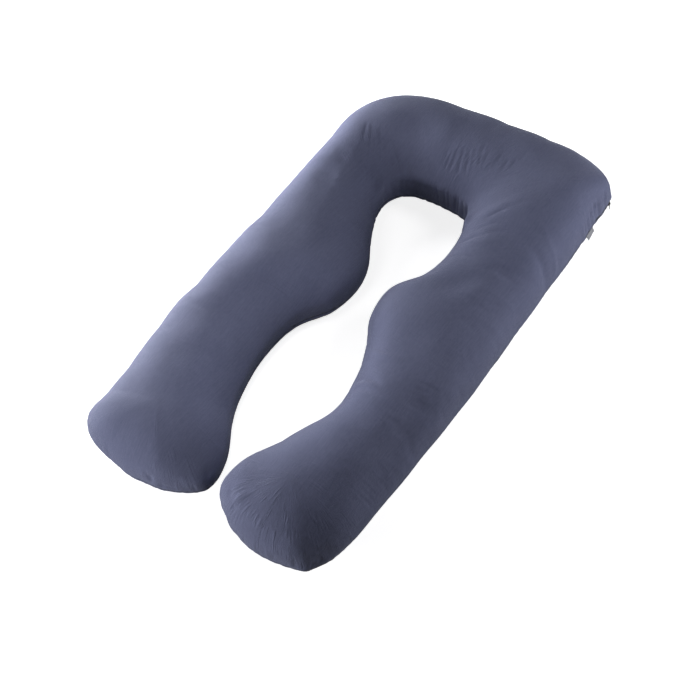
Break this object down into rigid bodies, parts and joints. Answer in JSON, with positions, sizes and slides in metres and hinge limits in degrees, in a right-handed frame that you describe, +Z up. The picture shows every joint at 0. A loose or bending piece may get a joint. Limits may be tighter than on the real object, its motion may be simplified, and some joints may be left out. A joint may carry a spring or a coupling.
{
  "type": "u-shaped body pillow",
  "caption": "Filled U-shaped body pillow in a stretch jersey cover, with rounded head bar, two shaped legs, a closed side zip and a blank sewn-in label.",
  "frame": {"origin": "on the surface that the pillow rests on, below the middle of its box", "axes": "+Y from the open feet towards the closed head bar, +Z up out of the resting surface, +X towards the side with the zip and label"},
  "size_m": [0.7002, 1.2986, 0.1741],
  "materials": {
    "cover_jersey": "smooth fine stretch jersey knit, slate blue-grey with a soft sheen",
    "zip_coil": "dark nylon coil and tape",
    "zip_metal": "black lacquered die-cast",
    "label_tape": "plain woven grey satin tape, blank"
  },
  "bodies": {
    "root": {"pillow": "cover_jersey", "zip_chain": "zip_coil", "zip_slider": "zip_metal", "zip_pull": "zip_metal", "side_label": "label_tape"}
  },
  "joints": []
}
